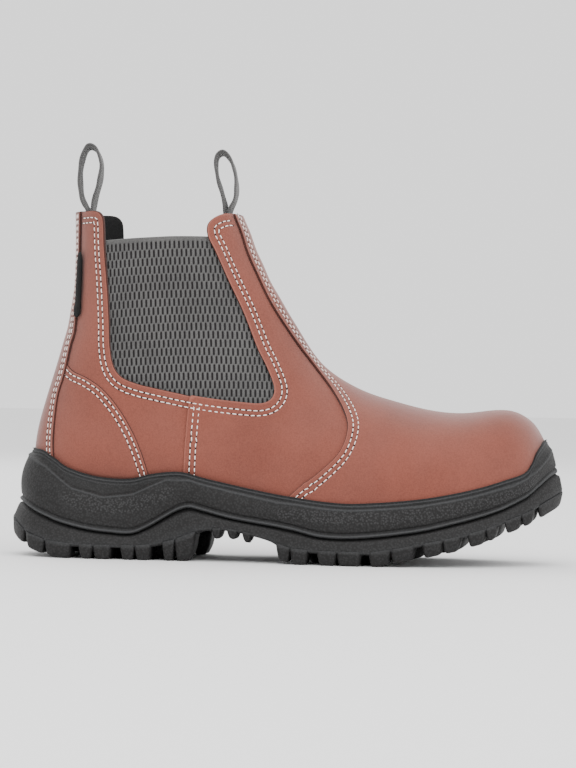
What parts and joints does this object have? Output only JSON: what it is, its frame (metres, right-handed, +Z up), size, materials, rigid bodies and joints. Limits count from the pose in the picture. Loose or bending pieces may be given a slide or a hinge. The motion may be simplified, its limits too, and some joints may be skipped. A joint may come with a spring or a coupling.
{
  "type": "pull-on work boot",
  "caption": "Ankle-high pull-on leather work boot for the right foot, with elastic side gores, webbing pull loops and a thick lugged rubber sole.",
  "frame": {"origin": "on the floor plane, in the middle of the flat tread face under the heel", "axes": "+X towards the toe, +Y towards the inner side of the foot, +Z up"},
  "size_m": [0.286, 0.104, 0.2138],
  "materials": {
    "leather": "matt pink-brown nubuck",
    "outsole_rubber": "moulded black rubber",
    "midsole_rubber": "pebbled black rubber",
    "elastic": "ribbed grey elastic",
    "webbing": "woven grey webbing",
    "insole_fabric": "black brushed fabric",
    "tag_fabric": "smooth black tape"
  },
  "bodies": {
    "root": {"outsole": "outsole_rubber", "midsole": "midsole_rubber", "insole": "insole_fabric", "upper": "leather", "vamp": "leather", "back_strip": "leather", "gore_lateral": "elastic", "gore_medial": "elastic", "back_pull_loop": "webbing", "front_pull_loop": "webbing", "back_tag": "tag_fabric"}
  },
  "joints": []
}
